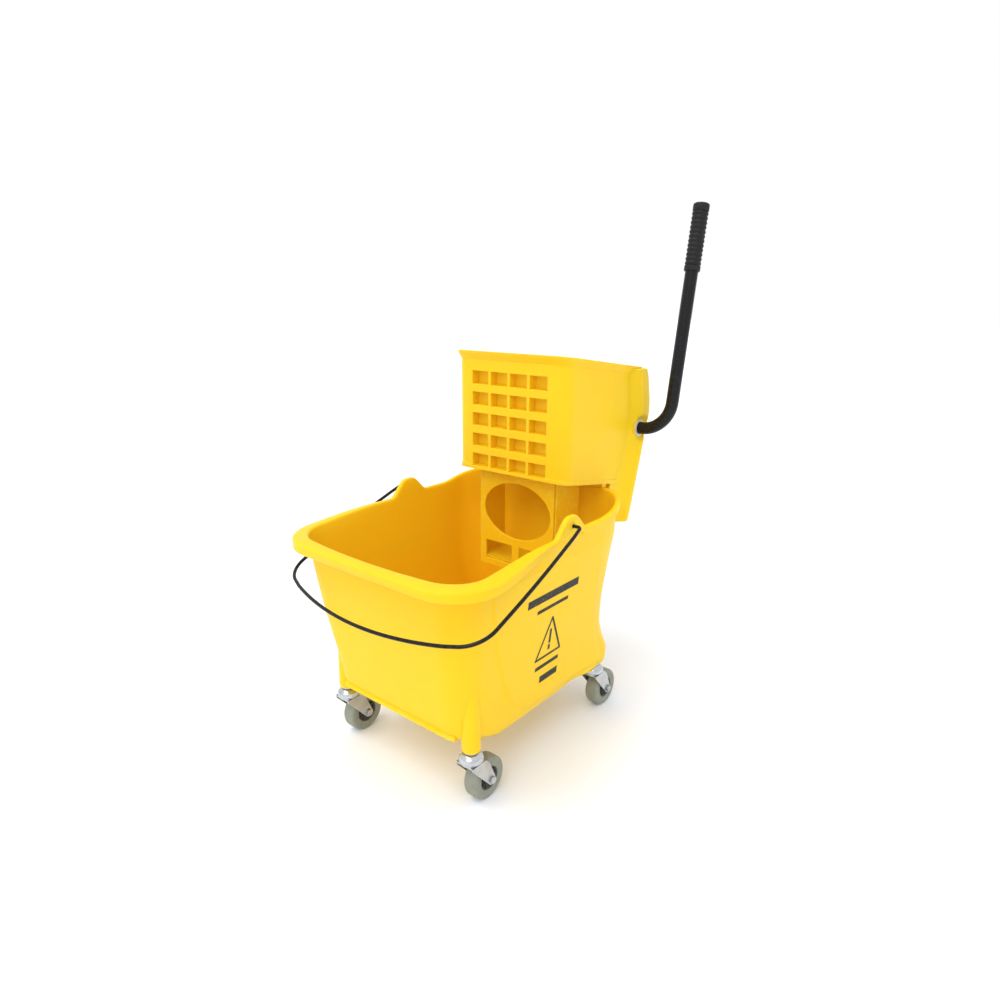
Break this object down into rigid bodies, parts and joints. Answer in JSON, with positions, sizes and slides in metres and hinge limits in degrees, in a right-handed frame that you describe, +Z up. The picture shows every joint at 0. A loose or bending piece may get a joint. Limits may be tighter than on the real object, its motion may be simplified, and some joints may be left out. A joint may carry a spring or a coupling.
{
  "type": "mop bucket with wringer",
  "caption": "Wheeled mop bucket with a pouring lip and a wire bail; a side-press wringer with a long lever hooks over its rear wall.",
  "frame": {"origin": "middle of the whole object in plan, at the floor", "axes": "+Z up, -Y towards the open front with the pouring lip, +X towards the lever"},
  "size_m": [0.4678, 0.7415, 1.0033],
  "materials": {
    "bucket_plastic": "satin injection-moulded polyethylene",
    "black_coated_steel": "black powder coat, satin",
    "zinc_plated_steel": "bright zinc plate",
    "grey_rubber_tread": "non-marking grey rubber, matte",
    "dark_hub_plastic": "dark moulded plastic",
    "black_grip_rubber": "ribbed black rubber",
    "nylon": "natural nylon"
  },
  "bodies": {
    "bucket": {"bucket_body": "bucket_plastic", "caster_socket_front_left": "nylon", "caster_socket_front_right": "nylon", "caster_socket_rear_left": "nylon", "caster_socket_rear_right": "nylon", "stem_cup_front_left": "zinc_plated_steel", "stem_cup_front_right": "zinc_plated_steel", "stem_cup_rear_left": "zinc_plated_steel", "stem_cup_rear_right": "zinc_plated_steel"},
    "bail": {"bail_wire": "black_coated_steel"},
    "wringer": {"wringer_housing": "bucket_plastic", "rear_hood": "bucket_plastic", "drain_floor": "bucket_plastic", "support_panel": "bucket_plastic", "shaft_bush_left": "nylon", "shaft_bush_right": "nylon", "hood_screw_1": "zinc_plated_steel", "hood_screw_2": "zinc_plated_steel", "hood_screw_3": "zinc_plated_steel", "hood_screw_4": "zinc_plated_steel", "return_spring": "zinc_plated_steel"},
    "lever": {"lever_tube": "black_coated_steel", "lever_grip": "black_grip_rubber", "crank_arm_left": "zinc_plated_steel", "crank_arm_right": "zinc_plated_steel", "crank_pin_left": "zinc_plated_steel", "crank_pin_right": "zinc_plated_steel", "shaft_cap": "dark_hub_plastic"},
    "press": {"press_plate": "bucket_plastic", "plate_lug_left": "zinc_plated_steel", "plate_lug_right": "zinc_plated_steel", "plate_pin_left": "zinc_plated_steel", "plate_pin_right": "zinc_plated_steel"},
    "left_link": {"link_left": "zinc_plated_steel"},
    "right_link": {"link_right": "zinc_plated_steel"},
    "fork_front_left_body": {"fork_front_left": "zinc_plated_steel", "axle_bolt_front_left": "zinc_plated_steel", "axle_nut_front_left": "zinc_plated_steel"},
    "wheel_front_left": {"wheel_tread_front_left": "grey_rubber_tread", "wheel_hub_front_left": "dark_hub_plastic"},
    "fork_front_right_body": {"fork_front_right": "zinc_plated_steel", "axle_bolt_front_right": "zinc_plated_steel", "axle_nut_front_right": "zinc_plated_steel"},
    "wheel_front_right": {"wheel_tread_front_right": "grey_rubber_tread", "wheel_hub_front_right": "dark_hub_plastic"},
    "fork_rear_left_body": {"fork_rear_left": "zinc_plated_steel", "axle_bolt_rear_left": "zinc_plated_steel", "axle_nut_rear_left": "zinc_plated_steel"},
    "wheel_rear_left": {"wheel_tread_rear_left": "grey_rubber_tread", "wheel_hub_rear_left": "dark_hub_plastic"},
    "fork_rear_right_body": {"fork_rear_right": "zinc_plated_steel", "axle_bolt_rear_right": "zinc_plated_steel", "axle_nut_rear_right": "zinc_plated_steel"},
    "wheel_rear_right": {"wheel_tread_rear_right": "grey_rubber_tread", "wheel_hub_rear_right": "dark_hub_plastic"}
  },
  "joints": [
    {"name": "bail_swing", "type": "hinge", "parent": "bucket", "child": "bail", "pos_m": [0, -0.0498, 0.452], "axis": [-1, 0, 0], "range_deg": [-14, 117]},
    {"name": "wringer_lift", "type": "slide", "parent": "bucket", "child": "wringer", "axis": [0, 0, 1], "range_m": [0, 0.3]},
    {"name": "lever_turn", "type": "hinge", "parent": "wringer", "child": "lever", "pos_m": [0, 0.2822, 0.569], "axis": [1, 0, 0], "range_deg": [0, 90], "stiffness_Nm_per_rad": 2.2, "springref_deg": -20.05},
    {"name": "press_slide", "type": "slide", "parent": "wringer", "child": "press", "axis": [0, -1, 0], "range_m": [0, 0.1265]},
    {"name": "left_link_turn", "type": "hinge", "parent": "press", "child": "left_link", "pos_m": [-0.0762, 0.22877, 0.569], "axis": [-1, 0, 0], "range_deg": [0, 49.2]},
    {"name": "right_link_turn", "type": "hinge", "parent": "press", "child": "right_link", "pos_m": [0.0762, 0.22877, 0.569], "axis": [-1, 0, 0], "range_deg": [0, 49.2]},
    {"name": "swivel_front_left", "type": "hinge", "parent": "bucket", "child": "fork_front_left_body", "pos_m": [-0.158, -0.2623, 0.0865], "axis": [0, 0, 1], "continuous": true},
    {"name": "roll_front_left", "type": "hinge", "parent": "fork_front_left_body", "child": "wheel_front_left", "pos_m": [-0.158, -0.2303, 0.0381], "axis": [1, 0, 0], "continuous": true},
    {"name": "swivel_front_right", "type": "hinge", "parent": "bucket", "child": "fork_front_right_body", "pos_m": [0.158, -0.2623, 0.0865], "axis": [0, 0, 1], "continuous": true},
    {"name": "roll_front_right", "type": "hinge", "parent": "fork_front_right_body", "child": "wheel_front_right", "pos_m": [0.158, -0.2303, 0.0381], "axis": [1, 0, 0], "continuous": true},
    {"name": "swivel_rear_left", "type": "hinge", "parent": "bucket", "child": "fork_rear_left_body", "pos_m": [-0.158, 0.1167, 0.0865], "axis": [0, 0, 1], "continuous": true},
    {"name": "roll_rear_left", "type": "hinge", "parent": "fork_rear_left_body", "child": "wheel_rear_left", "pos_m": [-0.158, 0.1487, 0.0381], "axis": [1, 0, 0], "continuous": true},
    {"name": "swivel_rear_right", "type": "hinge", "parent": "bucket", "child": "fork_rear_right_body", "pos_m": [0.158, 0.1167, 0.0865], "axis": [0, 0, 1], "continuous": true},
    {"name": "roll_rear_right", "type": "hinge", "parent": "fork_rear_right_body", "child": "wheel_rear_right", "pos_m": [0.158, 0.1487, 0.0381], "axis": [1, 0, 0], "continuous": true}
  ],
  "couplings": [
    {"joint": "press_slide", "follows": "lever_turn", "m_per_rad": 0.08023},
    {"joint": "left_link_turn", "follows": "lever_turn", "ratio": 0.54269},
    {"joint": "right_link_turn", "follows": "lever_turn", "ratio": 0.54269}
  ]
}
